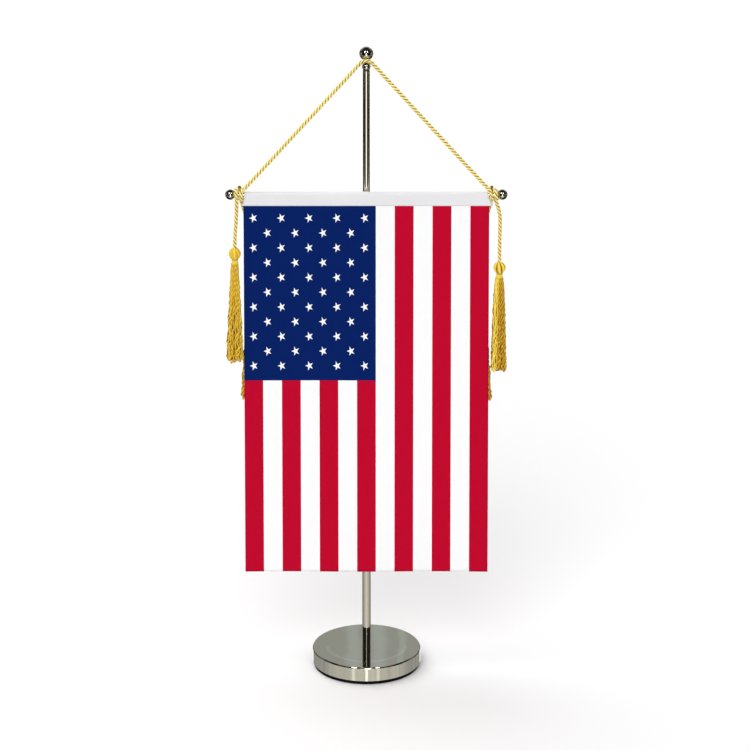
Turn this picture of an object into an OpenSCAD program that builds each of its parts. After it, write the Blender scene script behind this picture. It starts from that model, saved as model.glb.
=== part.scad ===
// Desk flag stand: a weighted round base, a two-section telescopic mast with a ball finial and a
// ball-ended peg, and a banner on a crossbar that hangs from the peg by a gold cord with tassels.
// Millimetres. +Z is up, the viewer stands at -Y, and the origin is the centre of the base's
// underside.

/* [Base] */
// Outer diameter of the drawn steel cover
base_d = 62.5; // [60:0.5:80]
// Height of the cover, from its open lower edge to its top face
cover_h = 8.5; // [8:0.5:12]
// Thickness of the cover's sheet
cover_t = 0.8; // [0.6:0.1:1]
// Radius of the cover's rolled top edge
cover_edge_r = 0.8; // [0.4:0.1:1.5]
// Thickness of the foam pad under the base
pad_t = 3; // [2.5:0.1:3.5]
// How far the pad stands below the cover's edge
pad_proud = 2.2; // [1.6:0.1:2.3]

/* [Mast] */
// Outer diameter of the fixed lower tube
lower_d = 5; // [5:0.5:6]
// Length of the fixed lower tube
lower_l = 190; // [150:5:200]
// Outer diameter of the sliding upper tube
upper_d = 4; // [4:0.1:4.4]
// Wall of the upper tube
upper_t = 0.4; // [0.3:0.05:0.5]
// Wall of the lower tube
lower_t = 0.3; // [0.25:0.05:0.35]
// Length of the lower tube's rolled mouth, which guides the upper tube and stops its bush
mouth_l = 4; // [3:0.5:6]

/* [Finial and peg] */
// Height of the finial ball's centre above the table
finial_z = 378.2; // [370:0.1:380]
// Diameter of the finial ball
finial_d = 8; // [7:0.5:9]
// Diameter of the peg's stem
peg_d = 1.8; // [1.6:0.1:2]
// Diameter of the ball that ends the peg
peg_ball_d = 5; // [4:0.5:5]
// Distance of the peg's ball from the mast's axis
peg_reach = 8.2; // [8.2:0.1:10]
// Depth of the peg below the finial ball's centre
peg_drop = 4.9; // [4.8:0.1:6]

/* [Crossbar] */
// Diameter of the crossbar's rod
bar_d = 2.5; // [2:0.1:2.6]
// Diameter of the balls on its ends
bar_ball_d = 6; // [5:0.5:6]
// Distance between the centres of those balls
bar_span = 154.8; // [154.8:0.2:160]

/* [Flag] */
// Width of the cloth
flag_w = 140; // [120:1:140]
// Length of the printed panel below the sleeve
flag_drop = 227; // [180:1:235]
// Height of the sleeve that the crossbar runs in
sleeve_h = 8.2; // [7:0.1:12]
// Thickness of the cloth
cloth_t = 0.3; // [0.2:0.05:0.4]

/* [Cord and tassels] */
// Diameter of the twisted cord
cord_d = 2.4; // [2:0.1:2.4]
// Length of a tassel from the top of its head to the end of its skirt
tassel_l = 68; // [55:1:70]
// Diameter of a tassel's head
tassel_head_d = 6.8; // [6:0.2:7]
// Diameter of a tassel's skirt at its end
tassel_end_d = 9; // [8:0.2:9]

/* [Hidden] */
$fn = 64;

steel = [0.72, 0.70, 0.63];
iron = [0.30, 0.30, 0.31];
black = [0.05, 0.05, 0.05];
brass = [0.75, 0.60, 0.28];
gold = [0.93, 0.74, 0.18];
white_cloth = [0.94, 0.94, 0.95];
red_cloth = [0.75, 0.04, 0.18];

run_gap = 0.05;   // radial clearance of what slides or turns
seat_gap = 0.02;  // radial clearance of what is pressed or screwed home
bush_gap = 0.03;  // radial clearance of the sprung bush, in one tube and in the other

// Heights of the base's layers
cover_z = pad_proud;
cover_top = cover_z + cover_h;
weight_top = cover_top - cover_t;
weight_r = base_d / 2 - cover_t - 0.3;

// The screw that holds the mast to the base
screw_r = 1.45;
screw_hole_r = 1.6;
screw_end_z = cover_top + 8;
head_r = 2.75;
head_h = 2.4;
hex_r = 1.44;  // the head's socket, across its corners
hex_h = 1.3;
washer_r = 3.4;
washer_t = 0.5;
counterbore_r = 4;
counterbore_h = 4;

// The tubes
lower_bore_r = lower_d / 2 - lower_t;
mouth_r = upper_d / 2 + run_gap;
upper_bore_r = upper_d / 2 - upper_t;
lower_top = cover_top + lower_l;
plug_l = 14;
bush_l = 14;
bush_stem_l = 12;
bush_z = lower_top - mouth_l - bush_l - run_gap;

// The finial and the peg
neck_r = 1.5;
neck_l = 5.6;
collar_h = 0.6;
finial_stem_l = 10;
upper_top = finial_z - finial_d / 2 + 0.2 - neck_l - collar_h;
peg_z = finial_z - peg_drop;
peg_core_r = 0.6;

// The cord's route on the +X side, from the top of its bight over the peg down to the crossbar:
// x, and height above the peg's axis
cord_route = [[0, 2.15], [1, 2.05], [2, 1.7], [2.8, 1.2], [3.5, 0.6], [11.5, -8.7], [20, -18.5],
    [28.5, -28.4], [37, -38.2], [45.5, -48], [54, -57.9], [62, -67.1], [69.6, -75.8]];
bight_end = 2;  // the last point of the route that is part of the bight
leg_start = 4;  // the first point of the route that is part of the leg

// The crossbar hangs plumb under the bight
bar_y = -4.7;
bar_z = peg_z - 79;
loop_r = bar_d / 2 + run_gap + cord_d / 2;  // from the bar's axis to the middle of a cord round it
knot_x = 71.35;
loop_x = knot_x + cord_d + 0.1;
bar_stem_r = 0.9;
bar_shoulder_x = bar_span / 2 - bar_ball_d / 2 - 0.05;

// The cloth
sleeve_bore_r = bar_d / 2 + 0.15;
sleeve_r = sleeve_bore_r + cloth_t;
panel_top = bar_z + sleeve_r - sleeve_h;
panel_y = bar_y - sleeve_r;  // the panel's front face

// The tassels: the tail's route from the crossbar to the head, as x outwards, y, and height
// relative to the crossbar's axis
front_left_route = [[73.85, -4.7, -3.75], [73.9, -4.7, -7], [74, -4.7, -11.2], [74.2, -4.7, -15.3],
    [74.5, -4.7, -19.4], [74.8, -4.7, -23.5], [75, -4.7, -28.1], [75.1, -4.7, -32.7]];
front_right_route = [[73.85, -4.7, -3.75], [74.2, -4.7, -5.4], [75.1, -4.7, -8.1],
    [75.8, -4.7, -11.2], [76.2, -4.7, -14.3], [76.2, -4.7, -19.4], [76.1, -4.7, -24.5],
    [76, -4.7, -29.6], [76, -4.7, -35.2], [76, -4.7, -41.3]];
rear_left_route = [[71.4, -2.3, -3.7], [71, -1.7, -6], [70, -1.3, -9.7], [68.6, -1.2, -14.8],
    [67.4, -1.2, -20.4], [66.6, -1.2, -29.7], [66.2, -1.2, -42], [66, -1.2, -58.2]];
rear_right_route = [[71.4, -2.3, -3.7], [71, -1.7, -6], [70, -1.3, -9.7], [68.6, -1.2, -14.8],
    [67.4, -1.2, -20.4], [66.6, -1.2, -29.7], [66.2, -1.2, -42], [66, -1.2, -59.2]];
head_h_share = 0.93;       // the head ball's full height over its diameter, before its foot is cut
head_cut = 150;            // the angle from the top at which the head ends in its neck
binding_r = 1.8;
binding_h = 3.4;

function unit(v) = v / norm(v);

// The points of an arc about c in a plane
function arc(c, r, from, to, steps = 8) =
    [for (i = [0:steps]) let (a = from + (to - from) * i / steps) c + r * [cos(a), sin(a)]];

// The points of one side of the route, placed in space: side is 1 for +X and -1 for -X
function cord_point(i, side) = [side * cord_route[i][0], bar_y, peg_z + cord_route[i][1]];

// A tassel route placed in space
function tail_points(route, side) =
    [for (p = route) [side * p[0], p[1], bar_z + p[2]]];

// One ring of a swept tube. It needs a route that never runs along Y.
function ring(p, t, r, sides) =
    let (u = unit(cross([0, 1, 0], t)), v = cross(t, u))
    [for (k = [0:sides - 1]) p + r * (cos(360 * k / sides) * u + sin(360 * k / sides) * v)];

// A round tube swept along points
module swept_tube(points, d, sides = 8) {
    last = len(points) - 1;
    rings = [for (i = [0:last])
        ring(points[i], unit(points[min(i + 1, last)] - points[max(i - 1, 0)]), d / 2, sides)];
    walls = [for (i = [0:last - 1], k = [0:sides - 1])
        let (a = i * sides + k, b = i * sides + (k + 1) % sides)
        each [[a, a + sides, b + sides], [a, b + sides, b]]];
    first_cap = [for (k = [0:sides - 1]) k];
    last_cap = [for (k = [sides - 1:-1:0]) last * sides + k];
    polyhedron([for (r = rings) each r], concat([first_cap], walls, [last_cap]));
}

// A round bar along X, from one x to another, on the crossbar's axis
module bar_round(r, from, to) {
    translate([from, bar_y, bar_z]) rotate([0, 90, 0]) cylinder(r = r, h = to - from);
}

// A round bar along Y at the peg's height
module peg_round(r, from, to) {
    translate([0, from, peg_z]) rotate([-90, 0, 0]) cylinder(r = r, h = to - from);
}

// A turn of cord round the crossbar
module bar_loop(x) {
    translate([x, bar_y, bar_z]) rotate([0, 90, 0])
        rotate_extrude() translate([loop_r, 0]) circle(d = cord_d, $fn = 32);
}

// ---- base ----

module base_cover() {
    r = base_d / 2;
    outer = arc([r - cover_edge_r, cover_top - cover_edge_r], cover_edge_r, 0, 90);
    color(steel) rotate_extrude($fn = 128)
        polygon(concat([[r - cover_t, cover_z], [r, cover_z]], outer,
            [[screw_hole_r, cover_top], [screw_hole_r, weight_top], [r - cover_t, weight_top]]));
}

module base_weight() {
    color(iron) difference() {
        translate([0, 0, pad_t]) cylinder(r = weight_r, h = weight_top - pad_t, $fn = 128);
        translate([0, 0, pad_t - 1]) cylinder(r = screw_hole_r, h = cover_h + 2);
        translate([0, 0, pad_t - 1]) cylinder(r = counterbore_r, h = counterbore_h + 1);
    }
}

module base_pad() {
    color(black) cylinder(r = base_d / 2 - cover_t - 0.1, h = pad_t, $fn = 128);
}

module base_screw() {
    seat = pad_t + counterbore_h - washer_t;
    color(steel) difference() {
        union() {
            translate([0, 0, seat - head_h]) cylinder(r = head_r, h = head_h);
            translate([0, 0, seat]) cylinder(r = screw_r, h = screw_end_z - seat);
        }
        translate([0, 0, seat - head_h - 1]) cylinder(r = hex_r, h = hex_h + 1, $fn = 6);
    }
}

module base_washer() {
    color(steel) translate([0, 0, pad_t + counterbore_h - washer_t]) difference() {
        cylinder(r = washer_r, h = washer_t);
        translate([0, 0, -1]) cylinder(r = screw_hole_r, h = washer_t + 2);
    }
}

// ---- mast ----

module lower_tube() {
    r = lower_d / 2;
    lip_r = 0.3;
    lip = arc([r - lip_r, lower_top - lip_r], lip_r, 0, 90, 6);
    color(steel) rotate_extrude()
        polygon(concat([[lower_bore_r, cover_top], [r, cover_top]], lip,
            [[mouth_r, lower_top], [mouth_r, lower_top - mouth_l],
            [lower_bore_r, lower_top - mouth_l]]));
}

module tube_foot_plug() {
    color(brass) translate([0, 0, cover_top]) difference() {
        cylinder(r = lower_bore_r - seat_gap, h = plug_l);
        translate([0, 0, -1]) cylinder(r = screw_r + run_gap, h = 10);
    }
}

// A split spring bush: it grips the lower tube's bore, the rolled mouth keeps it in, and the upper
// tube turns on its stem.
module slide_bush() {
    slit_w = 0.5;
    slit_l = bush_l - 2;
    color(brass) difference() {
        union() {
            translate([0, 0, bush_z]) cylinder(r = lower_bore_r - bush_gap, h = bush_l);
            translate([0, 0, bush_z + bush_l])
                cylinder(r = upper_bore_r - bush_gap, h = bush_stem_l);
        }
        translate([-slit_w / 2, -lower_d, bush_z - 1]) cube([slit_w, 2 * lower_d, slit_l + 1]);
    }
}

module upper_tube() {
    foot = bush_z + bush_l + run_gap;
    color(steel) rotate_extrude()
        polygon([[upper_bore_r, foot], [upper_d / 2, foot], [upper_d / 2, upper_top - 0.2],
            [upper_d / 2 - 0.2, upper_top], [upper_bore_r, upper_top]]);
}

module finial() {
    color(steel) difference() {
        union() {
            translate([0, 0, finial_z]) sphere(d = finial_d);
            translate([0, 0, upper_top]) cylinder(r = neck_r, h = neck_l + collar_h + 0.6);
            translate([0, 0, upper_top]) cylinder(r = upper_d / 2 - 0.1, h = collar_h);
            translate([0, 0, upper_top - finial_stem_l])
                cylinder(r = upper_bore_r - seat_gap, h = finial_stem_l + 0.1);
        }
        peg_round(peg_core_r + seat_gap, -neck_r - 1, 1);
    }
}

module peg_stem() {
    ball_face = -peg_reach + peg_ball_d / 2;
    color(steel) union() {
        peg_round(peg_core_r, -neck_r - 0.5, 0.9);
        peg_round(peg_d / 2, ball_face - 2, -neck_r - 0.05);
    }
}

module peg_ball() {
    color(steel) difference() {
        translate([0, -peg_reach, peg_z]) sphere(d = peg_ball_d);
        peg_round(peg_d / 2 + seat_gap, -peg_reach + peg_ball_d / 2 - 2.05, 0);
    }
}

// ---- hanging cord ----

module cord_bight() {
    left = [for (i = [bight_end:-1:1]) cord_point(i, -1)];
    right = [for (i = [0:bight_end]) cord_point(i, 1)];
    color(gold) swept_tube(concat(left, right), cord_d);
}

module cord_leg(side) {
    color(gold)
        swept_tube([for (i = [leg_start:len(cord_route) - 1]) cord_point(i, side)], cord_d);
}

module cord_knot(side) {
    color(gold) bar_loop(side * knot_x);
}

// ---- crossbar ----

module crossbar_rod() {
    stem_x = bar_span / 2 + 0.3;
    color(steel) union() {
        bar_round(bar_d / 2, -bar_shoulder_x, bar_shoulder_x);
        bar_round(bar_stem_r, -stem_x, stem_x);
    }
}

module crossbar_ball(side) {
    x = side * bar_span / 2;
    depth = bar_ball_d / 2 + 0.35;
    color(steel) difference() {
        translate([x, bar_y, bar_z]) sphere(d = bar_ball_d);
        bar_round(bar_stem_r + seat_gap, min(x - side * depth, x + side * 0.35),
            max(x - side * depth, x + side * 0.35));
    }
}

// ---- flag ----

// The sleeve in section, as y and z: round over the bar, straight down in front, and closed
// behind where its hem is sewn to the panel.
function sleeve_outline(r, front, seam_z) =
    concat([[front, seam_z]], arc([bar_y, bar_z], r, 180, 0, 16),
        [[bar_y + r, bar_z - 1], [front + 2 * cloth_t, seam_z]]);

module flag_sleeve() {
    hem_h = 1.2;
    color(white_cloth) translate([flag_w / 2, 0, 0]) rotate([90, 0, -90])
        linear_extrude(flag_w) mirror([1, 0]) difference() {
            polygon(sleeve_outline(sleeve_r, panel_y, panel_top));
            polygon(sleeve_outline(sleeve_bore_r, panel_y + cloth_t, panel_top + hem_h));
        }
}

module flag_panel() {
    color(red_cloth) translate([-flag_w / 2, panel_y, panel_top - flag_drop])
        cube([flag_w, cloth_t, flag_drop]);
}

// ---- tassels ----

// The end of a tail, where the tassel's head begins
function tail_end(route, side) = tail_points(route, side)[len(route) - 1];

// The turn of a front tail round the crossbar
module tassel_loop(side) {
    color(gold) bar_loop(side * loop_x);
}

module tassel_tail(route, side) {
    color(gold) swept_tube(tail_points(route, side), cord_d);
}

module tassel_head(route, side) {
    r = tassel_head_d / 2;
    half_h = r / head_h_share;
    color(gold) translate(tail_end(route, side)) translate([0, 0, -half_h - 0.02])
        rotate_extrude() polygon(concat(
            [for (a = [0:15:head_cut]) [r * sin(a), half_h * cos(a)]],
            [[0, half_h * cos(head_cut)]]));
}

function head_foot(route, side) =
    let (half_h = tassel_head_d / 2 / head_h_share)
    tail_end(route, side) - [0, 0, half_h * (1 - cos(head_cut)) + 0.02];

module tassel_binding(route, side) {
    color(gold) translate(head_foot(route, side) - [0, 0, binding_h])
        cylinder(r = binding_r, h = binding_h);
}

module tassel_skirt(route, side) {
    top = head_foot(route, side)[2] - binding_h;
    end = tail_end(route, side)[2] - tassel_l;
    r = tassel_end_d / 2;
    l = top - end;
    place = tail_end(route, side);
    color(gold) translate([place[0], place[1], end]) rotate_extrude()
        polygon([[0, l], [binding_r + 0.2, l], [r * 0.54, l * 0.92], [r * 0.66, l * 0.8],
            [r * 0.76, l * 0.55], [r * 0.88, l * 0.25], [r, 0], [0, 0]]);
}

base_cover();
base_weight();
base_pad();
base_screw();
base_washer();
lower_tube();
tube_foot_plug();
slide_bush();
upper_tube();
finial();
peg_stem();
peg_ball();
cord_bight();
cord_leg(-1);  // cord_leg_left
cord_leg(1);  // cord_leg_right
cord_knot(-1);  // cord_knot_left
cord_knot(1);  // cord_knot_right
crossbar_rod();
crossbar_ball(-1);  // crossbar_ball_left
crossbar_ball(1);  // crossbar_ball_right
flag_sleeve();
flag_panel();
tassel_loop(-1);  // front_left_loop
tassel_tail(front_left_route, -1);  // front_left_tail
tassel_head(front_left_route, -1);  // front_left_head
tassel_binding(front_left_route, -1);  // front_left_binding
tassel_skirt(front_left_route, -1);  // front_left_skirt
tassel_loop(1);  // front_right_loop
tassel_tail(front_right_route, 1);  // front_right_tail
tassel_head(front_right_route, 1);  // front_right_head
tassel_binding(front_right_route, 1);  // front_right_binding
tassel_skirt(front_right_route, 1);  // front_right_skirt
tassel_tail(rear_left_route, -1);  // rear_left_tail
tassel_head(rear_left_route, -1);  // rear_left_head
tassel_binding(rear_left_route, -1);  // rear_left_binding
tassel_skirt(rear_left_route, -1);  // rear_left_skirt
tassel_tail(rear_right_route, 1);  // rear_right_tail
tassel_head(rear_right_route, 1);  // rear_right_head
tassel_binding(rear_right_route, 1);  // rear_right_binding
tassel_skirt(rear_right_route, 1);  // rear_right_skirt
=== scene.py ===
import bpy
import math
import random
import numpy as np
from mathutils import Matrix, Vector


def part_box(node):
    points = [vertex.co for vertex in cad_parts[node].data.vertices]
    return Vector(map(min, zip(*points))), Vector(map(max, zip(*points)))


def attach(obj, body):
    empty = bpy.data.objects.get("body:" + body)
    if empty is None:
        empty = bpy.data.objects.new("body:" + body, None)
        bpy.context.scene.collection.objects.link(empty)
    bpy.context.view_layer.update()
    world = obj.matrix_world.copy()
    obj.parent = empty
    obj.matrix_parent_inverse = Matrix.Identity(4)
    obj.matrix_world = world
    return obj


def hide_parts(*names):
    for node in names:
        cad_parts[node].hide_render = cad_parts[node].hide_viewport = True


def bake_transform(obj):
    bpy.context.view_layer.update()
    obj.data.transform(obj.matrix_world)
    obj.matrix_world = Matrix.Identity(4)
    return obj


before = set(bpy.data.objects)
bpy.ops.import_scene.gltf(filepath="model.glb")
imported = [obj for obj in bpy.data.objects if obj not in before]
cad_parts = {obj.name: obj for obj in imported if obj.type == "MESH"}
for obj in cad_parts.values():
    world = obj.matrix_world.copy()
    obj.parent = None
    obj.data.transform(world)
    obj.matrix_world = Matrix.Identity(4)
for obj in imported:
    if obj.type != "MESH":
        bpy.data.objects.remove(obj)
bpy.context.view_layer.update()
mm = 0.001
print("frame loaded:", len(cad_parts), "CAD nodes")


def middle(node):
    low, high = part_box(node)
    return (low + high) / 2


# places that the frame gives
barLow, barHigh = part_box("crossbar_rod")
barY = middle("crossbar_rod").y
barZ = middle("crossbar_rod").z
barRadius = (barHigh.z - barLow.z) / 2
pegZ = middle("peg_stem").z
flagLow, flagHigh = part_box("flag_panel")
sleeveLow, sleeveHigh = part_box("flag_sleeve")
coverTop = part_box("base_cover")[1].z

view = {
    "distance": 5.0,      # metres in front of the mast
    "height": 2.2584,
    "side": 0.00493,      # a touch to the right of the mast
    "tiltDown": 22.561,   # degrees
    "lens": 452.6,
    "sensor": 36.0,
    "nearest": 0.05,
    "farthest": 20,
}


def makeCamera():
    data = bpy.data.cameras.new("viewCamera")
    data.lens = view["lens"]
    data.sensor_width = view["sensor"]
    data.clip_start = view["nearest"]
    data.clip_end = view["farthest"]
    camera = bpy.data.objects.new("viewCamera", data)
    camera.location = (view["side"], -view["distance"], view["height"])
    camera.rotation_euler = (math.radians(90 - view["tiltDown"]), 0, 0)
    bpy.context.scene.collection.objects.link(camera)
    bpy.context.scene.camera = camera


makeCamera()
print("camera set")


class Wire:
    # a socket that can be added, multiplied and compared like a number
    def __init__(self, shader, socket):
        self.shader = shader
        self.socket = socket

    def maths(self, operation, *values, clamp=False):
        return self.shader.node("ShaderNodeMath", {"operation": operation, "use_clamp": clamp},
                                *values)

    def __add__(self, other):
        return self.maths("ADD", self, other)

    def __radd__(self, other):
        return self.maths("ADD", other, self)

    def __sub__(self, other):
        return self.maths("SUBTRACT", self, other)

    def __rsub__(self, other):
        return self.maths("SUBTRACT", other, self)

    def __mul__(self, other):
        return self.maths("MULTIPLY", self, other)

    def __rmul__(self, other):
        return self.maths("MULTIPLY", other, self)

    def __truediv__(self, other):
        return self.maths("DIVIDE", self, other)

    def __lt__(self, other):
        return self.maths("LESS_THAN", self, other)

    def __gt__(self, other):
        return self.maths("GREATER_THAN", self, other)

    def floor(self):
        return self.maths("FLOOR", self)

    def wrap(self, top):
        return self.maths("FLOORED_MODULO", self, top)

    def size(self):
        return self.maths("ABSOLUTE", self)

    def sine(self):
        return self.maths("SINE", self)

    def power(self, exponent):
        return self.maths("POWER", self, exponent)

    def clamped(self):
        return self.maths("ADD", self, 0.0, clamp=True)


class Shader:
    # one material, its Principled node and a short way to add any other node
    def __init__(self, name, **constants):
        self.material = bpy.data.materials.new(name)
        self.material.use_nodes = True
        self.tree = self.material.node_tree
        self.principled = self.tree.nodes["Principled BSDF"]
        for socket, value in constants.items():
            self.principled.inputs[socket.replace("_", " ")].default_value = value

    def node(self, kind, settings=None, *values, out=0, **named):
        node = self.tree.nodes.new(kind)
        for key, value in (settings or {}).items():
            if key == "stops":
                self.fillRamp(node.color_ramp, value)
            else:
                setattr(node, key, value)
        for index, value in enumerate(values):
            self.feed(node.inputs[index], value)
        for key, value in named.items():
            self.feed(node.inputs[key.replace("_", " ")], value)
        return Wire(self, node.outputs[out])

    def fillRamp(self, ramp, stops):
        while len(ramp.elements) < len(stops):
            ramp.elements.new(0.5)
        for element, (place, colour) in zip(ramp.elements, stops):
            element.position = place
            element.color = (*colour, 1)

    def feed(self, socket, value):
        if isinstance(value, Wire):
            self.tree.links.new(value.socket, socket)
        else:
            socket.default_value = value

    def mix(self, factor, first, second):
        mixed = self.node("ShaderNodeMix", {"data_type": "RGBA"}, factor, out=2)
        inputs = mixed.socket.node.inputs   # 6 and 7 are its two colours
        self.feed(inputs[6], first if isinstance(first, Wire) else (*first, 1))
        self.feed(inputs[7], second if isinstance(second, Wire) else (*second, 1))
        return mixed

    def place(self):
        return self.node("ShaderNodeTexCoord", out="Object")

    def stretched(self, scale):
        return self.node("ShaderNodeMapping", None, Vector=self.place(), Scale=scale)

    def split(self, vector):
        first = self.node("ShaderNodeSeparateXYZ", None, vector)
        return [Wire(self, output) for output in first.socket.node.outputs]

    def noise(self, scale, detail=2.0, vector=None):
        return self.node("ShaderNodeTexNoise", None, Vector=vector or self.place(), Scale=scale,
                         Detail=detail)

    def stored(self, name):
        return self.node("ShaderNodeAttribute", {"attribute_name": name}, out="Fac")

    def set(self, socket, value):
        self.feed(self.principled.inputs[socket], value)

    def bump(self, height, strength, distance):
        self.set("Normal", self.node("ShaderNodeBump", None, Height=height, Strength=strength,
                                     Distance=distance))


def distances(path):
    # how far along the path each of its points lies
    return np.concatenate([[0], np.cumsum(np.linalg.norm(np.diff(path, axis=0), axis=1))])


def smoothPath(points, step):
    # a Catmull-Rom curve through the points, cut at an even step
    points = [np.array(p, float) for p in points]
    padded = [2 * points[0] - points[1]] + points + [2 * points[-1] - points[-2]]
    fine = []
    cutsPerSpan = 24
    for a, b, c, d in zip(padded, padded[1:], padded[2:], padded[3:]):
        for t in np.linspace(0, 1, cutsPerSpan, endpoint=False):
            fine.append(0.5 * (2 * b + (c - a) * t + (2 * a - 5 * b + 4 * c - d) * t * t
                               + (3 * b - a - 3 * c + d) * t ** 3))
    fine.append(points[-1])
    fine = np.array(fine)
    along = distances(fine)
    count = max(3, int(round(along[-1] / step)) + 1)
    even = np.linspace(0, along[-1], count)
    return np.stack([np.interp(even, along, fine[:, axis]) for axis in range(3)], axis=1)


def unit(vectors):
    return vectors / np.maximum(np.linalg.norm(vectors, axis=-1, keepdims=True), 1e-12)


def fullTurn(count):
    return np.linspace(0, 2 * math.pi, count, endpoint=False)


def tangentsOf(path):
    return unit(np.gradient(path, axis=0))


def pathLength(path):
    return float(np.linalg.norm(np.diff(path, axis=0), axis=1).sum())


def carriedFrames(path):
    # side and up vectors carried along the path without twisting
    tangents = tangentsOf(path)
    side = np.cross(tangents[0], (0.0, 1.0, 0.0))
    if np.linalg.norm(side) < 0.1:
        side = np.cross(tangents[0], (1.0, 0.0, 0.0))
    sides = [unit(side)]
    for tangent in tangents[1:]:
        side = sides[-1] - tangent * np.dot(sides[-1], tangent)
        sides.append(unit(side))
    sides = np.array(sides)
    return sides, np.cross(tangents, sides)


def ringsOf(turn, reach, side, up):
    # rings of points round a path, from the angles of the points and how far out each one is
    return reach[..., None] * (np.cos(turn)[:, None] * side[:, None, :]
                               + np.sin(turn)[:, None] * up[:, None, :])


class Weave:
    # gathers tubes into one mesh, with a stored shade (the thread's tone) and depth for each point;
    # the thread material paints shade where the depth is low
    def __init__(self):
        self.points = []
        self.faces = []
        self.shades = []
        self.depths = []
        self.total = 0

    def tube(self, centres, radius, shade, depth, lobes=0, twist=0.0, squeeze=0.0):
        # a six-sided thread, with twisted lobes where it is made of more than one yarn
        centres = np.asarray(centres, float)
        side, up = carriedFrames(centres)
        turn = fullTurn(6)
        swell = 1 + squeeze * np.cos(lobes * turn - twist * distances(centres)[:, None])
        body = centres[:, None, :] + ringsOf(turn, radius * swell, side, up)
        darkening = 1.6   # how fast the painted shade deepens in the grooves between the yarns
        depths = depth * (1 - (1 + squeeze - swell) * darkening)
        self.addRings(body, centres, shade, depths)

    def addRings(self, body, centres, shade, depths):
        rings, sides, _ = body.shape
        base = self.total
        self.points.append(body.reshape(-1, 3))
        self.points.append(np.array([centres[0], centres[-1]]))
        for i in range(rings - 1):
            for k in range(sides):
                a = base + i * sides + k
                b = base + i * sides + (k + 1) % sides
                self.faces.append((a, b, b + sides, a + sides))
        first = base + rings * sides
        last = first + 1
        end = base + (rings - 1) * sides
        for k in range(sides):
            self.faces.append((first, base + (k + 1) % sides, base + k))
            self.faces.append((last, end + k, end + (k + 1) % sides))
        self.shades.append(np.full(rings * sides + 2, shade))
        capDepths = [depths[0].mean(), depths[-1].mean()]
        self.depths.append(np.concatenate([depths.reshape(-1), capDepths]))
        self.total += rings * sides + 2

    def build(self, name, material):
        mesh = bpy.data.meshes.new(name)
        mesh.from_pydata(np.concatenate(self.points), [], self.faces)
        for label, chunks in (("shade", self.shades), ("depth", self.depths)):
            mesh.attributes.new(label, "FLOAT", "POINT").data.foreach_set(
                "value", np.concatenate(chunks).astype(np.float32))
        mesh.shade_smooth()
        mesh.materials.append(material)
        piece = bpy.data.objects.new(name, mesh)
        bpy.context.scene.collection.objects.link(piece)
        return piece


rope = {
    "width": 2.4 * mm,
    "plies": 3,
    "plyShare": 0.475,       # of the rope's radius
    "pitch": 7.4 * mm,
    "plySides": 10,
    "yarns": 3,              # in each ply
    "yarnPitch": 2.1 * mm,
    "yarnRipple": 0.05,
    "step": 0.42 * mm,
    "seed": 5,
}


def layRope(weave, path, seed):
    # plies wound round the path, each ply a tube whose skin ripples with its own yarns
    chance = random.Random(seed)
    side, up = carriedFrames(path)
    along = distances(path)
    outer = rope["width"] / 2
    plyRadius = outer * rope["plyShare"]
    windRadius = outer - plyRadius
    for ply in range(rope["plies"]):
        angle = 2 * math.pi * (ply / rope["plies"] - along / rope["pitch"])
        out = np.cos(angle)[:, None] * side + np.sin(angle)[:, None] * up
        centres = path + windRadius * out
        across = unit(np.cross(tangentsOf(centres), out))
        turn = fullTurn(rope["plySides"])
        yarnAngle = rope["yarns"] * turn + along[:, None] * 2 * math.pi / rope["yarnPitch"]
        yarn = 1 + rope["yarnRipple"] * np.cos(yarnAngle)
        body = centres[:, None, :] + ringsOf(turn, plyRadius * yarn, out, across)
        # painted shade: points near the rope's middle, in the grooves between plies, get a low
        # depth and are painted dark; the crests are painted pale
        depths = np.linalg.norm(body - path[:, None, :], axis=2) / outer
        weave.addRings(body, centres, 0.4 + 0.2 * chance.random(), depths)


def coatedThread(name, dark, middle, pale, fibre, low, high):
    # rayon with painted light: pale, a painted highlight, where the stored depth nears high, and
    # painted dark shade in the grooves where it nears low
    shader = Shader(name, Sheen_Weight=0.12, Sheen_Roughness=0.4, Specular_IOR_Level=0.35)
    shade = shader.stored("shade")
    fine = shader.noise(fibre, 3, shader.stretched((1, 1, 0.35)))
    # painted shade and highlight from how deep the point lies, plus a random tone and fibre noise
    height = (shader.stored("depth") - low) / (high - low)
    level = height + (shade - 0.5) * 0.55 + (fine - 0.5) * 0.4
    ramp = shader.node("ShaderNodeValToRGB",
                       {"stops": [(0.08, dark), (0.45, middle), (0.95, pale)]}, Fac=level)
    shader.set("Base Color", ramp)
    shader.set("Roughness", (0.56 - fine * 0.3).clamped())
    shader.bump(fine + shader.noise(fibre * 2.6, 1) * 0.5, 0.4, 0.12 * mm)
    return shader.material


def goldRope():
    return coatedThread("goldRope", (0.22, 0.13, 0.012), (0.78, 0.54, 0.085), (1.0, 0.86, 0.34),
                        fibre=2600, low=0.7, high=0.97)


def goldThread():
    return coatedThread("goldThread", (0.24, 0.08, 0.001), (0.8, 0.46, 0.007), (1.0, 0.86, 0.13),
                        fibre=2200, low=0.27, high=0.88)


def softBand(shader, value, middle, half, soft):
    # 1 within half of the middle, falling to 0 over the soft margin
    return shader.node("ShaderNodeMapRange", {"interpolation_type": "SMOOTHSTEP"},
                       (value - middle).size(), half, half + soft, 1.0, 0.0)


def brightNickel(name, wave, reflections=None):
    shader = Shader(name, Metallic=1.0)
    haze = shader.noise(160, 3)
    smear = shader.noise(30, 2, shader.stretched((1, 1, 0.2)))
    tint = shader.mix(haze, (0.7, 0.675, 0.6), (0.65, 0.635, 0.565))
    # where given, painted reflections make the metal's colour paler
    if reflections:
        tint = shader.mix(reflections(shader), tint, (0.95, 0.95, 0.9))
    shader.set("Base Color", tint)
    shader.set("Roughness", (0.03 + haze * 0.03 + smear * 0.03).clamped())
    shader.bump(shader.noise(140, 1) + smear * 0.5, 1.0, wave)
    return shader.material


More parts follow.
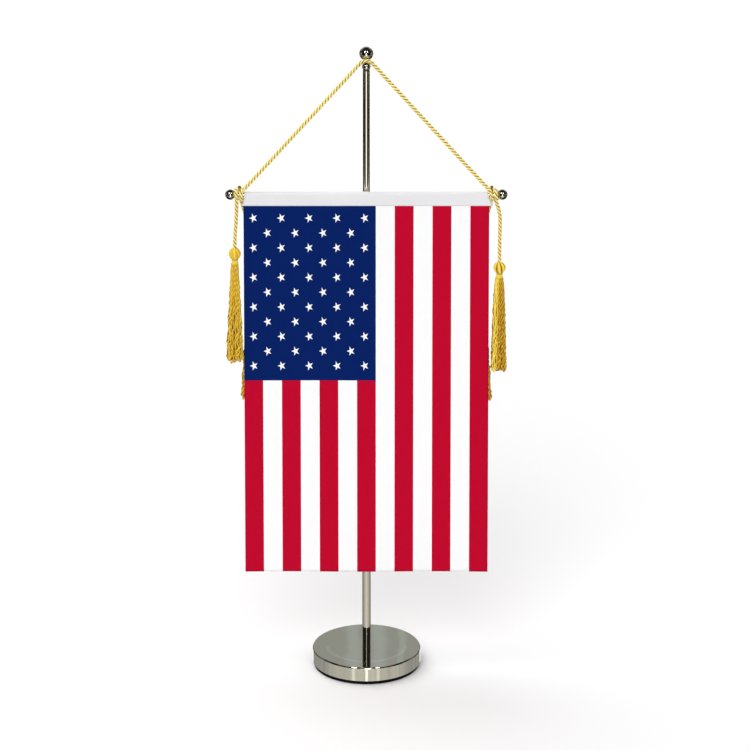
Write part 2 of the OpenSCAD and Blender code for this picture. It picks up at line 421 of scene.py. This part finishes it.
def paintedReflections(shader):
    # painted reflections: soft pale bands beside the mast and a narrower one to its right on the
    # top, a faint pale arc in front, and a side wall painted paler away from its middle
    x, y, z = shader.split(shader.place())
    radius = (x * x + y * y).power(0.5)
    wander = (shader.noise(60) - 0.5) * 0.006
    beside = softBand(shader, (x + wander).size(), 0.0075, 0.001, 0.006)
    right = softBand(shader, x + wander, 0.0205, 0.0006, 0.0025)
    arc = softBand(shader, radius + wander * 0.3, 0.0225, 0.0003, 0.0014) * (y < 0)
    onTop = z > coverTop - 0.3 * mm
    wall = (z < coverTop - 0.6 * mm) * (1 - softBand(shader, x, 0, 0.012, 0.014))
    return (beside * 0.55 + right * 0.45 + arc * 0.6 * shader.noise(90)) * onTop + wall


def blackFoam():
    shader = Shader("blackFoam", Specular_IOR_Level=0.1)
    cells = shader.node("ShaderNodeTexVoronoi", {"feature": "F1"}, Vector=shader.place(),
                        Scale=3400)
    shader.set("Base Color", shader.mix(cells, (0.002, 0.002, 0.002), (0.009, 0.009, 0.009)))
    shader.set("Roughness", (0.8 + cells * 0.15).clamped())
    shader.bump(cells, 0.5, 0.08 * mm)
    return shader.material


def castIron():
    shader = Shader("castIron", Metallic=0.85)
    grain = shader.noise(900, 5)
    shader.set("Base Color", shader.mix(grain, (0.05, 0.048, 0.045), (0.13, 0.125, 0.12)))
    shader.set("Roughness", (0.5 + grain * 0.3).clamped())
    shader.bump(grain, 0.4, 0.15 * mm)
    return shader.material


def turnedMetal(name, dark, pale):
    # fine turning rings round the axis
    shader = Shader(name, Metallic=1.0)
    height = shader.split(shader.place())[2]
    rings = (height * 9000).sine() * 0.5 + 0.5
    tarnish = shader.noise(220, 3)
    shader.set("Base Color", shader.mix(tarnish, dark, pale))
    shader.set("Roughness", (0.2 + tarnish * 0.15 + rings * 0.05).clamped())
    shader.bump(rings, 0.12, 0.02 * mm)
    return shader.material


# the print on the banner, in metres from its upper left corner
printed = {
    "stripes": 13,
    "blueStripes": 7,
    "blueDrop": 0.473,       # of the panel's height
    "starRows": 11,
    "starColumns": 5,        # in the first row, and one less in every second row
    "starAcross": 15.86 * mm,
    "starDown": 9.1 * mm,
    "firstStar": (5.6 * mm, 7.3 * mm),
    "starWidth": 2.4 * mm,   # from a star's centre to its point
    "starHeight": 3.0 * mm,
    "red": (0.51, 0.0006, 0.024),
    "blue": (0.0001, 0.0132, 0.12),
    "white": (0.95, 0.95, 0.955),
}


def starField(shader, across, down):
    row = (down - printed["firstStar"][1]) / printed["starDown"]
    rowNumber = (row + 0.5).floor()
    odd = rowNumber.wrap(2.0)
    column = (across - printed["firstStar"][0]) / printed["starAcross"] - odd * 0.5
    columnNumber = (column + 0.5).floor()
    u = (column - columnNumber) * (printed["starAcross"] / printed["starWidth"])
    v = (row - rowNumber) * (printed["starDown"] / printed["starHeight"])
    inside = 0
    for edge in range(5):
        angle = math.radians(180 + 72 * edge)
        inside = inside + (u * math.cos(angle) + v * math.sin(angle) < math.cos(math.radians(72)))
    star = inside > 3.5      # on the inner side of at least four of the five edge lines
    rowsFit = (rowNumber > -0.5) * (rowNumber < printed["starRows"] - 0.5)
    columnsFit = (columnNumber > -0.5) * (columnNumber < printed["starColumns"] - 0.5 - odd)
    return star * rowsFit * columnsFit


def clothWeave(shader, threads):
    x, _, z = shader.split(shader.place())
    warp = (x * threads).sine()
    weft = (z * threads).sine()
    return warp * weft * 0.5 + 0.5


def printedCloth():
    shader = Shader("printedCloth", Specular_IOR_Level=0.04)
    x, _, z = shader.split(shader.place())
    across = x - flagLow.x
    down = flagHigh.z - z
    width = flagHigh.x - flagLow.x
    drop = flagHigh.z - flagLow.z
    stripe = (across / (width / printed["stripes"])).floor()
    whiteStripe = stripe.wrap(2.0)
    stripes = shader.mix(whiteStripe, printed["red"], printed["white"])
    inCanton = (stripe < printed["blueStripes"] - 0.5) * (down < drop * printed["blueDrop"])
    canton = shader.mix(starField(shader, across, down), printed["blue"], printed["white"])
    inks = shader.mix(inCanton, stripes, canton)
    weave = clothWeave(shader, 11000)
    cloudy = shader.noise(45, 3)
    worn = (weave * 0.0012 + cloudy * 0.0012).clamped()
    shader.set("Base Color", shader.mix(worn, inks, (0.9, 0.9, 0.92)))
    shader.set("Roughness", (0.62 + weave * 0.12 + (cloudy - 0.5) * 0.1).clamped())
    shader.bump(weave + shader.noise(5200, 2) * 0.6, 0.3, 0.06 * mm)
    return shader.material


def whiteSatin():
    shader = Shader("whiteSatin", Sheen_Weight=0.12, Sheen_Roughness=0.4)
    weave = clothWeave(shader, 9000)
    crease = shader.noise(38, 4, shader.stretched((0.5, 1, 1.6)))
    # painted shade: the noise that bumps the creases also greys the colour, darker in their hollows
    shader.set("Base Color", shader.mix(crease, (0.71, 0.71, 0.735), (0.84, 0.84, 0.86)))
    shader.set("Roughness", (0.42 + weave * 0.15).clamped())
    shader.bump(crease * 2 + weave * 0.15, 0.35, 0.5 * mm)
    return shader.material


def whiteThread():
    shader = Shader("whiteThread", Roughness=0.6)
    shader.set("Base Color", shader.mix(shader.noise(3000), (0.7, 0.7, 0.72), (0.95, 0.95, 0.95)))
    return shader.material


nickel = brightNickel("brightNickel", 0.0012 * mm)
coverNickel = brightNickel("coverNickel", 0.022 * mm, paintedReflections)
ropeMaterial = goldRope()
threadMaterial = goldThread()
satin = whiteSatin()
stitchThread = whiteThread()
print("materials made")

# x outwards from the middle and z from the peg's axis, in millimetres
cordRoute = [(0, 2.15), (1, 2.05), (2, 1.7), (2.8, 1.2), (3.5, 0.6), (11.5, -8.7), (20, -18.5),
             (28.5, -28.4), (37, -38.2), (45.5, -48), (54, -57.9), (62, -67.1), (69.6, -75.8)]

# x outwards, y, and z from the crossbar's axis, in millimetres
tailRoutes = {
    "front_left": [(73.85, -4.7, -3.75), (73.9, -4.7, -7), (74, -4.7, -11.2), (74.2, -4.7, -15.3),
                   (74.5, -4.7, -19.4), (74.8, -4.7, -23.5), (75, -4.7, -28.1),
                   (75.1, -4.7, -32.7)],
    "front_right": [(73.85, -4.7, -3.75), (74.2, -4.7, -5.4), (75.1, -4.7, -8.1),
                    (75.8, -4.7, -11.2), (76.2, -4.7, -14.3), (76.2, -4.7, -19.4),
                    (76.1, -4.7, -24.5), (76, -4.7, -29.6), (76, -4.7, -35.2), (76, -4.7, -41.3)],
    "rear_left": [(71.4, -2.3, -3.7), (71, -1.7, -6), (70, -1.3, -9.7), (68.6, -1.2, -14.8),
                  (67.4, -1.2, -20.4), (66.6, -1.2, -29.7), (66.2, -1.2, -42), (66, -1.2, -58.2)],
    "rear_right": [(71.4, -2.3, -3.7), (71, -1.7, -6), (70, -1.3, -9.7), (68.6, -1.2, -14.8),
                   (67.4, -1.2, -20.4), (66.6, -1.2, -29.7), (66.2, -1.2, -42), (66, -1.2, -59.2)],
}

# the wrap of the main cord's end round the bar and the short end that stands up behind it:
# x outwards, then y and z from the bar's axis, in millimetres
knotRoute = [(69.6, 0, 3.2), (70.2, -0.5, 2.9), (70.9, -1.7, 1.95), (71.3, -2.55, 0),
             (71.35, -1.9, -1.8), (71.3, 0, -2.6), (71.3, 1.9, -1.8), (71.35, 2.6, 0.1),
             (71.5, 2.2, 2.1), (71.7, 1.5, 3.3), (71.8, 0.6, 4.1), (71.8, -0.1, 4.5)]

knots = {
    "lean": 0.4 * mm,        # how far a wrap leans along the bar
    "wrapHeight": 2.5,       # millimetres over the bar's axis where the lean is full
    "ringX": 73.9 * mm,      # where the front tails go round the bar
    "ringLean": 0.9,         # of the knots' lean
    "ringGap": 0.05 * mm,    # between that turn and the bar
    "intoTassel": 11.2 * mm, # how far a tail runs on inside its tassel
    "seed": 11,
    "ringSeed": 23,
}

# the hidden top of each tail, inside the turn of cord that it hangs from
tailTops = {"front": (73.85, -4.7, -2.7), "rear": (71.4, -2.2, -1.7)}


def ropePiece(name, path, seed):
    weave = Weave()
    layRope(weave, path, seed)
    piece = weave.build(name, ropeMaterial)
    return piece


def leanAt(z):
    # both knots lean the same way in space: to the left above the bar, to the right below it
    return -knots["lean"] * max(-1, min(1, z / knots["wrapHeight"]))


def makeKnot(side):
    word = "left" if side < 0 else "right"
    points = []
    for x, y, z in knotRoute:
        growing = min(1, 2 * (x - knotRoute[0][0]))   # no lean yet where it leaves the long cord
        points.append((side * x * mm + leanAt(z) * growing, barY + y * mm, barZ + z * mm))
    knot = ropePiece("knot_" + word, smoothPath(points, rope["step"]), knots["seed"])
    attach(knot, "hanger")
    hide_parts("cord_knot_" + word)
    return knot


def makeHangingCord():
    right = [(x * mm, barY, pegZ + z * mm) for x, z in cordRoute]
    left = [(-x, y, z) for x, y, z in reversed(right[1:])]
    path = smoothPath(left + right, rope["step"])
    cord = ropePiece("hanging_cord", path, rope["seed"])
    ends = [makeKnot(-1), makeKnot(1)]
    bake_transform(cord)
    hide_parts("cord_bight", "cord_leg_left", "cord_leg_right")
    pathLength(path)


def tailPath(key):
    side = -1 if key.endswith("left") else 1
    route = [tailTops[key.split("_")[0]]] + tailRoutes[key]
    points = [(side * x * mm, y * mm, barZ + z * mm) for x, y, z in route]
    x, y, z = points[-1]
    inside = [(x, y, z - knots["intoTassel"] * share) for share in (0.5, 1)]
    return side, points, smoothPath(points + inside, rope["step"])


def makeRing(key, side):
    # the turn of a front tail's cord round the bar
    reach = barRadius + knots["ringGap"] + rope["width"] / 2
    points = []
    for degrees in range(-175, 186, 10):
        angle = math.radians(degrees)
        lean = leanAt(knots["wrapHeight"] * math.cos(angle)) * knots["ringLean"]
        points.append((side * knots["ringX"] + lean,
                       barY - reach * math.sin(angle), barZ + reach * math.cos(angle)))
    ring = ropePiece("ring_" + key, smoothPath(points, rope["step"]), knots["ringSeed"])
    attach(ring, key + "_tassel")
    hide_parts(key + "_loop")
    return ring


tassel = {
    "headRadius": 3.4 * mm,
    "headHeight": 3.66 * mm,     # half of the full ball
    "headEnd": 150,              # degrees from the top, where the neck begins
    "headThreads": 38,
    "headThread": 0.33 * mm,     # radius
    "headSwirl": 0.35,           # how far a thread winds round the head, in radians
    "threadInset": 0.3 * mm,     # how deep the head's threads have their middles
    "coreInset": 0.45 * mm,      # how deep the solid core lies behind them
    "bindingHeight": 3.4 * mm,
    "bindingRadius": 1.62 * mm,
    "bindingTurns": 7,
    "bindingThread": 0.27 * mm,  # radius
    "bindingEdge": 0.25 * mm,    # bare at each end of the winding
    "skirtTuck": 0.6 * mm,       # how far the skirt starts inside the binding
    "length": 68 * mm,
    "skirtLoops": 34,
    "goldenAngle": 2.39996,      # from one loop to the next, in radians, so that none line up
    "strand": 0.41 * mm,         # radius
    "strandStep": 0.62 * mm,
    "strandTwist": 3.1 * mm,     # length of one turn of its two yarns
    "loopHalf": 0.48 * mm,       # half the gap between a loop's two legs
    "uneven": 2.2,               # how much shorter a loop may be, in millimetres
    "crinkle": 0.34 * mm,
    "longWave": (9, 15),         # shortest and longest of each kind of crinkle, in millimetres
    "shortWave": (3, 5),
    "spreadAt": (0, 0.1, 0.3, 0.6, 1),
}

# "flat" squeezes a skirt against the banner, "folds" ripples its head, and "spread" is the skirt's
# share of its end radius at each of the places in spreadAt
tasselShapes = {
    "front_left": {"endRadius": 5.1 * mm, "flat": 1, "extra": 1.2 * mm, "folds": 0.03 * mm,
                   "seed": 3, "spread": (0.37, 0.44, 0.58, 0.76, 1)},
    "front_right": {"endRadius": 4.6 * mm, "flat": 1, "extra": -1.5 * mm, "folds": 0.16 * mm,
                    "seed": 8, "spread": (0.44, 0.6, 0.74, 0.85, 1)},
    "rear_left": {"endRadius": 5.9 * mm, "flat": 0.62, "extra": 0.6 * mm, "folds": 0.08 * mm,
                  "seed": 15, "spread": (0.32, 0.42, 0.56, 0.76, 1)},
    "rear_right": {"endRadius": 6.4 * mm, "flat": 0.58, "extra": 0.4 * mm, "folds": 0.1 * mm,
                   "seed": 21, "spread": (0.3, 0.4, 0.53, 0.76, 1)},
}


def turnedCore(weave, top, profile, shade):
    # a solid of revolution below a point, hidden behind the threads; its low depth paints it in
    # dark shade where it shows between them
    turn = fullTurn(20)
    centres = np.array([(top[0], top[1], top[2] - z) for r, z in profile])
    radii = np.array([r for r, z in profile])
    body = np.stack([centres[:, 0, None] + radii[:, None] * np.cos(turn),
                     centres[:, 1, None] - radii[:, None] * np.sin(turn),
                     np.repeat(centres[:, 2, None], len(turn), axis=1)], axis=2)
    weave.addRings(body, centres, shade, np.full(body.shape[:2], 0.35))


def headPoint(degrees, inset):
    angle = math.radians(degrees)
    return ((tassel["headRadius"] - inset) * math.sin(angle),
            tassel["headHeight"] - (tassel["headHeight"] - inset) * math.cos(angle))


def makeHead(key, top, folds, chance):
    weave = Weave()
    profile = [headPoint(degrees, tassel["coreInset"])
               for degrees in range(10, tassel["headEnd"] + 1, 10)]
    turnedCore(weave, top, profile, 0.3)
    count = tassel["headThreads"]
    for number in range(count):
        start = 2 * math.pi * number / count
        swirl = tassel["headSwirl"] + 0.1 * chance.random()
        fold = folds * math.cos(7 * start + chance.random())
        centres = []
        for degrees in range(14, tassel["headEnd"] + 1, 8):
            r, z = headPoint(degrees, tassel["threadInset"])
            r += fold * math.sin(math.radians(degrees))
            angle = start + swirl * degrees / tassel["headEnd"]
            centres.append((top[0] + r * math.cos(angle), top[1] + r * math.sin(angle), top[2] - z))
        depth = 0.62 + 1.6 * fold / mm   # a fold that stands out is painted paler, a painted highlight, and one that sinks in is painted darker
        weave.tube(centres, tassel["headThread"], 0.3 + 0.4 * chance.random(), depth)
    return weave.build("head_" + key, threadMaterial)


def makeBinding(key, foot):
    weave = Weave()
    radius = tassel["bindingRadius"]
    height = tassel["bindingHeight"]
    turnedCore(weave, foot, [(radius, 0), (radius, height)], 0.3)
    stepsPerTurn = 18
    steps = tassel["bindingTurns"] * stepsPerTurn
    centres = []
    for step in range(steps + 1):
        angle = 2 * math.pi * tassel["bindingTurns"] * step / steps
        drop = tassel["bindingEdge"] + (height - 2 * tassel["bindingEdge"]) * step / steps
        centres.append((foot[0] + radius * math.cos(angle), foot[1] + radius * math.sin(angle),
                        foot[2] - drop))
    weave.tube(centres, tassel["bindingThread"], 0.5, 0.75)
    return weave.build("binding_" + key, threadMaterial)


def strandPath(key, top, reach, angle, gap, fraction, waves):
    # one leg of a looped strand, straighter near the neck and crinkled lower down
    shape = tasselShapes[key]
    drops = np.linspace(0, reach, int(reach / tassel["strandStep"]) + 1)
    part = drops / reach
    r = np.interp(part, tassel["spreadAt"], shape["spread"]) * shape["endRadius"] * fraction
    turn = angle + gap / np.maximum(r, 1.2 * mm)
    size = tassel["crinkle"] * np.minimum(1, 0.15 + 1.5 * part)
    sway = [size * sum(share * np.sin(2 * math.pi * drops / length + start)
                       for share, length, start in wave) for wave in waves]
    away = 1 - (1 - shape["flat"]) * part
    return np.stack([top[0] + r * np.cos(turn) + sway[0],
                     top[1] + (r * np.sin(turn) + sway[1]) * away,
                     top[2] - drops], axis=1)


def randomWave(share, lengths, chance):
    return (share, chance.uniform(*lengths) * mm, chance.uniform(0, 6.28))


def makeSkirt(key, top, length, chance):
    weave = Weave()
    for number in range(tassel["skirtLoops"]):
        fraction = math.sqrt((number + 0.5) / tassel["skirtLoops"])
        angle = number * tassel["goldenAngle"] + chance.uniform(-0.15, 0.15)
        reach = length + chance.uniform(-tassel["uneven"], 0) * mm
        legs = []
        for gap in (-tassel["loopHalf"], tassel["loopHalf"]):
            waves = [[randomWave(0.8, tassel["longWave"], chance),
                      randomWave(0.5, tassel["shortWave"], chance)] for _ in range(2)]
            legs.append(strandPath(key, top, reach, angle, gap, fraction, waves))
        low = (legs[0][-1] + legs[1][-1]) / 2 - (0, 0, 0.5 * mm)   # the bottom of the loop
        centres = np.concatenate([legs[0], [low], legs[1][::-1]])
        shade = 0.5 + 0.5 * chance.choice((-1, -0.4, 0.3, 0.9))
        # inner loops get a low depth: painted shade inside the skirt, paler strands outside
        weave.tube(centres, tassel["strand"], shade, 0.3 + 0.55 * fraction ** 2,
                   lobes=2, twist=2 * math.pi / tassel["strandTwist"], squeeze=0.14)
    return weave.build("skirt_" + key, threadMaterial)


def makeTassel(key):
    side, route, path = tailPath(key)
    shape = tasselShapes[key]
    chance = random.Random(shape["seed"])
    body = key + "_tassel"
    tail = ropePiece("tail_" + key, path, shape["seed"])
    top = np.array(route[-1])
    headDrop = headPoint(tassel["headEnd"], 0)[1]
    foot = top - (0, 0, headDrop)
    skirtTop = foot - (0, 0, tassel["bindingHeight"] - tassel["skirtTuck"])
    skirtLength = skirtTop[2] - (top[2] - tassel["length"] - shape["extra"])
    parts = {
        "head": makeHead(key, top, shape["folds"], chance),
        "binding": makeBinding(key, foot),
        "skirt": makeSkirt(key, skirtTop, skirtLength, chance),
    }
    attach(tail, body)
    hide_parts(key + "_tail")
    for word, piece in parts.items():
        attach(piece, body)
        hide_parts(key + "_" + word)
    if key.startswith("front"):
        makeRing(key, side)
    tuple(path[0])
    pathLength(path)
    [tuple(p) for p in path]


makeHangingCord()
for key in tailRoutes:
    makeTassel(key)
print("cords and tassels made")


banner = {
    "across": 84,            # faces over the width
    "down": 132,             # faces over the height
    "thickness": 0.3 * mm,
    "ripple": 0.7 * mm,      # how far the free end stands forward
    "hem": 1.6 * mm,         # how far the panel runs up behind the sleeve's front
}


def gridMesh(name, rows, columns, place):
    points = [place(i / rows, k / columns) for i in range(rows + 1) for k in range(columns + 1)]
    faces = []
    for i in range(rows):
        for k in range(columns):
            a = i * (columns + 1) + k
            faces.append((a, a + 1, a + columns + 2, a + columns + 1))
    mesh = bpy.data.meshes.new(name)
    mesh.from_pydata(points, [], faces)
    mesh.shade_smooth()
    piece = bpy.data.objects.new(name, mesh)
    bpy.context.scene.collection.objects.link(piece)
    return piece


def thicken(piece, thickness, offset):
    solid = piece.modifiers.new("thickness", "SOLIDIFY")
    solid.thickness = thickness
    solid.offset = offset


def makePanel():
    width = flagHigh.x - flagLow.x
    drop = flagHigh.z - flagLow.z

    def place(downPart, acrossPart):
        loose = downPart ** 1.3
        wave = 0.5 + 0.5 * math.sin(2 * math.pi * (acrossPart * 1.7 + downPart * 0.35) + 0.6)
        lift = banner["ripple"] * loose * wave
        return (flagLow.x + width * acrossPart, flagLow.y - lift,
                flagHigh.z + banner["hem"] * (1 - downPart) - drop * downPart)

    panel = gridMesh("banner_panel", banner["down"], banner["across"], place)
    thicken(panel, banner["thickness"], 1)
    panel.data.materials.append(printedCloth())
    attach(panel, "flag")
    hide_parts("flag_panel")
    return panel, (width, drop + banner["hem"])


sleeve = {
    "across": 110,
    "thickness": 0.3 * mm,
    "crease": 0.16 * mm,
    "inset": 0.6 * mm,       # how far its upper corners stand in from the panel's edges
    "flare": (1.5 * mm, 2.4 * mm),   # how far its left and right lower corners stand out past them
    "flareStart": (4, 1.6),          # a higher power starts the flare lower down
    # back from the panel's front and up from the seam, in millimetres
    "frontEdge": [(-0.37, 0.3), (-0.45, 0.9), (-0.26, 2), (-0.1, 3.8)],
    "backEdge": [(1, 1.2), (0.8, 0)],
}


def sleeveSection():
    # the outside of the sleeve from its front edge over the bar to its back edge, as y and z
    front = flagLow.y
    seam = sleeveLow.z
    top = sleeveHigh.z - barZ
    points = [(front + y * mm, seam + z * mm) for y, z in sleeve["frontEdge"]]
    points.append((front - 0.05 * mm, barZ - 1.2 * mm))
    for degrees in range(180, -1, -15):
        angle = math.radians(degrees)
        points.append((barY + top * math.cos(angle), barZ + top * math.sin(angle)))
    points += [(barY + top - 0.1 * mm, barZ - 1.6 * mm), (barY + 0.5 * mm, barZ - 3.6 * mm)]
    return points + [(front + y * mm, seam + z * mm) for y, z in sleeve["backEdge"]]


def makeSleeve():
    section = sleeveSection()
    width = sleeveHigh.x - sleeveLow.x
    path = smoothPath([(0, y, z) for y, z in section], 0.7 * mm)
    flareTop = barZ + 1.5 * mm

    def place(part, acrossPart):
        index = part * (len(path) - 1)
        low = int(min(math.floor(index), len(path) - 2))
        y, z = (path[low] + (path[low + 1] - path[low]) * (index - low))[1:]
        below = (flareTop - z) / (flareTop - sleeveLow.z)
        edge = 2 * acrossPart - 1
        corner = int(edge > 0)
        grown = max(0, below) ** sleeve["flareStart"][corner]
        flare = (sleeve["inset"] + sleeve["flare"][corner]) * grown - sleeve["inset"]
        x = sleeveLow.x + width * acrossPart + flare * edge ** 15
        crease = sleeve["crease"] * math.sin(part * math.pi) * (
            math.sin(acrossPart * 23 + part * 3) + 0.6 * math.sin(acrossPart * 61 - part * 5))
        return (x, y - crease * 0.5, z)

    piece = gridMesh("banner_sleeve", len(path) - 1, sleeve["across"], place)
    thicken(piece, sleeve["thickness"], -1)
    piece.data.materials.append(satin)
    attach(piece, "flag")
    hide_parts("flag_sleeve")
    return piece, (width, pathLength(path))


stitches = {
    "pitch": 2.2 * mm,
    "length": 1.7 * mm,
    "radius": 0.09 * mm,
    "above": 0.75 * mm,      # over the sleeve's lower edge
    "proud": 0.47 * mm,      # in front of the panel
    "sunk": 0.12 * mm,       # how far its ends go back into the cloth
    "bend": 0.2 * mm,
}


def makeStitches():
    weave = Weave()
    width = sleeveHigh.x - sleeveLow.x
    count = int(width / stitches["pitch"]) - 1
    y = flagLow.y - stitches["proud"]
    backY = y + stitches["sunk"]
    z = sleeveLow.z + stitches["above"]
    for number in range(count):
        x = sleeveLow.x + (number + 0.7) * stitches["pitch"]
        end = x + stitches["length"]
        weave.tube([(x, backY, z), (x + stitches["bend"], y, z), (end - stitches["bend"], y, z),
                    (end, backY, z)], stitches["radius"], 0.5, 1.0)
    piece = weave.build("sleeve_stitches", stitchThread)
    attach(piece, "flag")
    return piece


panel, panelFlat = makePanel()
sleevePiece, sleeveFlat = makeSleeve()
seamThread = makeStitches()
print("banner made")


# the metal and rubber parts keep their CAD shapes and only get a finish
finishes = {
    "base_cover": coverNickel, "lower_tube": nickel, "upper_tube": nickel, "finial": nickel,
    "peg_stem": nickel, "peg_ball": nickel, "crossbar_rod": nickel,
    "crossbar_ball_left": nickel, "crossbar_ball_right": nickel,
    "base_pad": blackFoam(), "base_weight": castIron(),
    "slide_bush": turnedMetal("turnedBrass", (0.62, 0.42, 0.14), (0.86, 0.66, 0.28)),
    "base_screw": turnedMetal("zincedSteel", (0.5, 0.5, 0.5), (0.72, 0.73, 0.75)),
}
finishes["tube_foot_plug"] = finishes["slide_bush"]
finishes["base_washer"] = finishes["base_screw"]

for node, finish in finishes.items():
    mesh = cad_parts[node].data
    mesh.materials.clear()
    mesh.materials.append(finish)
print("metal finished")


studio = {
    "floorRadius": 2.4,
    "floorWhite": 0.9,
    "floorDrop": 0.2 * mm,   # keeps the floor just under the pad
    "fill": 0.56,            # brightness of the white room on matt surfaces
    "seen": 1.05,            # and of the white that the camera sees past the floor
}

lamps = {
    "overheadLight": {"from": (-0.4, 0.25, 1.0), "strength": 1.3, "width": 55},
    "frontLight": {"from": (-0.2, -1.0, 0.85), "strength": 1.1, "width": 34},
}

# what polished metal sees besides the dark walls, the rear ceiling and the pale table: each is a
# soft patch, with a middle, a half size and a margin in degrees. "turn" is counted round from the
# front and "back" is the same on both sides.
reflected = {
    "deep": {"back": (0, 24, 24), "rise": (-42, 14, 5), "strength": 0.5},
    "stripe": {"turn": (1, 9, 10), "rise": (-13, 8.6, 1.4), "strength": 1.7},
    "lampLeft": {"turn": (-33, 5, 3), "rise": (48, 9, 3), "strength": 12},
    "lampRight": {"turn": (30, 3.5, 2.5), "rise": (47, 8, 3), "strength": 12},
    "lampFront": {"turn": (3, 4, 3), "rise": (9, 4, 3), "strength": 12},
    "lampHigh": {"turn": (0, 4, 4), "rise": (24, 5, 5), "strength": 0.9},
    "lineMiddle": {"turn": (0, 1.2, 2), "rise": (-24, 8, 5), "strength": 1.1},
    "lineLeft": {"turn": (-28, 1.5, 3), "rise": (-24, 8, 5), "strength": 0.35},
    "lineRight": {"turn": (25, 1.5, 3), "rise": (-24, 8, 5), "strength": 0.3},
    "sides": {"back": (95, 10, 12), "rise": (-2, 9, 3), "strength": 0.4},
    "behind": {"back": (180, 12, 12), "rise": (-12, 18, 6), "strength": 0.9},
}


def makeFloor():
    points = [(studio["floorRadius"] * math.cos(angle), studio["floorRadius"] * math.sin(angle),
               -studio["floorDrop"]) for angle in fullTurn(96)]
    mesh = bpy.data.meshes.new("floor")
    mesh.from_pydata(points, [], [tuple(range(len(points)))])
    floor = bpy.data.objects.new("floor", mesh)
    bpy.context.scene.collection.objects.link(floor)
    shader = Shader("paleFloor", Roughness=0.9, Specular_IOR_Level=0.0)
    white = studio["floorWhite"]
    shader.set("Base Color", (white, white, white, 1))
    mesh.materials.append(shader.material)
    floor.visible_glossy = False


def makeLamp(name, lamp):
    data = bpy.data.lights.new(name, "SUN")
    data.energy = lamp["strength"]
    data.angle = math.radians(lamp["width"])
    sun = bpy.data.objects.new(name, data)
    sun.rotation_euler = (-Vector(lamp["from"])).to_track_quat("-Z", "Y").to_euler()
    sun.location = lamp["from"]
    sun.visible_glossy = False
    bpy.context.scene.collection.objects.link(sun)


class Room(Shader):
    # the same node maths for the world around the stand
    def __init__(self, world):
        self.tree = world.node_tree
        self.tree.nodes.clear()

    def band(self, value, middle, half, soft):
        return softBand(self, value, middle, half, soft)

    def above(self, value, start, end):
        return self.node("ShaderNodeMapRange", {"interpolation_type": "SMOOTHSTEP"},
                         value, start, end, 0.0, 1.0)


def makeRoom():
    world = bpy.data.worlds.new("studio")
    world.use_nodes = True
    bpy.context.scene.world = world
    room = Room(world)
    x, y, z = room.split(room.node("ShaderNodeTexCoord", out="Generated"))
    turn = x.maths("ARCTAN2", x, y * -1) * math.degrees(1)
    rise = z.maths("ARCSINE", z) * math.degrees(1)
    back = turn.size()
    streaks = room.node("ShaderNodeTexNoise", {"noise_dimensions": "1D"}, W=turn * 0.11,
                        Scale=1.0, Detail=2.0)
    walls = 0.008 + 0.012 * room.above(rise, -5, 40)
    rear = room.above(back, 95, 150) * room.band(rise, 25, 11, 8)
    ceiling = rear * (0.24 + streaks * 0.28)
    tableLight = (0.28 + 0.32 * room.band(back, 0, 50, 60)) * (0.75 + streaks * 0.5)
    table = room.band(rise, -25.9, 3.1, 1.4) * tableLight
    glow = walls + ceiling + table
    for patch in reflected.values():
        if "turn" in patch:
            around = room.band(turn, *patch["turn"])
        else:
            around = room.band(back, *patch["back"])
        glow = glow + around * room.band(rise, *patch["rise"]) * patch["strength"]
    tint = room.mix(rear, (1.0, 0.975, 0.88), (0.95, 1.0, 0.94))
    reflections = room.node("ShaderNodeBackground", None, Color=tint, Strength=glow)
    matt = room.node("ShaderNodeBackground", None, Color=(1, 1, 1, 1), Strength=studio["fill"])
    seen = room.node("ShaderNodeBackground", None, Color=(1, 1, 1, 1), Strength=studio["seen"])
    toCamera = room.node("ShaderNodeLightPath", out="Is Camera Ray")
    toGloss = room.node("ShaderNodeLightPath", out="Is Glossy Ray")
    softly = room.node("ShaderNodeMixShader", None, toCamera, matt, seen)
    full = room.node("ShaderNodeMixShader", None, toGloss, softly, reflections)
    room.feed(room.tree.nodes.new("ShaderNodeOutputWorld").inputs["Surface"], full)


makeFloor()
makeRoom()
for name, lamp in lamps.items():
    makeLamp(name, lamp)
bpy.context.scene.view_settings.view_transform = "Standard"
print("studio lit")
